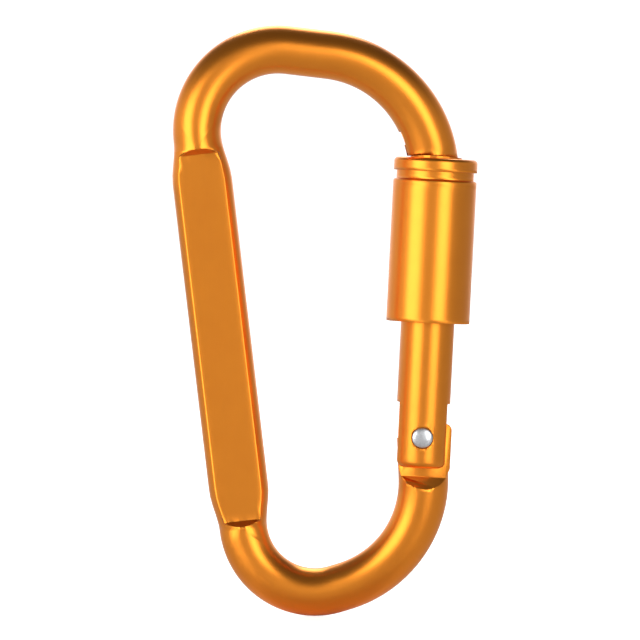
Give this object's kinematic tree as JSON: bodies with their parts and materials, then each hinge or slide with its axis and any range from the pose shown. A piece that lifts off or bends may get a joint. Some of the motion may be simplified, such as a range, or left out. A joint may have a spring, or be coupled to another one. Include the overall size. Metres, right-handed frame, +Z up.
{
  "type": "carabiner keyring",
  "caption": "Aluminium D-shaped carabiner keyring with a flattened spine, a sprung hinged gate and a screwed locking sleeve with a grooved collar.",
  "frame": {"origin": "inside crest of the top bow, mid thickness, where the ring or hook that holds the carabiner bears", "axes": "+Z up with the carabiner hanging, +X from the spine towards the gate, -Y towards the front flat of the spine"},
  "size_m": [0.0414, 0.0114, 0.0801],
  "materials": {
    "orange_anodised": "satin orange anodised aluminium, fine bead-blasted",
    "rivet_steel": "bright zinc-plated steel, domed by the rivet set",
    "spring_steel": "drawn spring wire, lightly oiled"
  },
  "bodies": {
    "frame_body": {"frame": "orange_anodised"},
    "gate_body": {"gate": "orange_anodised", "latch_tip": "orange_anodised", "hinge_rivet": "rivet_steel", "gate_spring": "spring_steel"},
    "plunger_body": {"spring_plunger": "rivet_steel"},
    "ring_body": {"sleeve_ring": "spring_steel"},
    "sleeve_body": {"locking_sleeve": "orange_anodised"}
  },
  "joints": [
    {"name": "gate_hinge", "type": "hinge", "parent": "frame_body", "child": "gate_body", "pos_m": [0.01953, 0, -0.04925], "axis": [0, -1, 0], "range_deg": [0, 27], "stiffness_Nm_per_rad": 0.25, "springref_deg": -22.92},
    {"name": "plunger_slide", "type": "slide", "parent": "gate_body", "child": "plunger_body", "axis": [0.0505, 0, 0.9987], "range_m": [0, 0.0006], "deforming": ["gate_spring"]},
    {"name": "sleeve_slide", "type": "slide", "parent": "gate_body", "child": "ring_body", "axis": [0.0505, 0, 0.9987], "range_m": [-0.007, 0.0012]},
    {"name": "sleeve_spin", "type": "hinge", "parent": "ring_body", "child": "sleeve_body", "pos_m": [0.01953, 0, -0.04925], "axis": [0.0505, 0, 0.9987], "range_deg": [-2520, 432]}
  ],
  "couplings": [
    {"joint": "plunger_slide", "follows": "gate_hinge", "m_per_rad": 0.00125},
    {"joint": "sleeve_spin", "follows": "sleeve_slide", "rad_per_m": 6283.2}
  ]
}
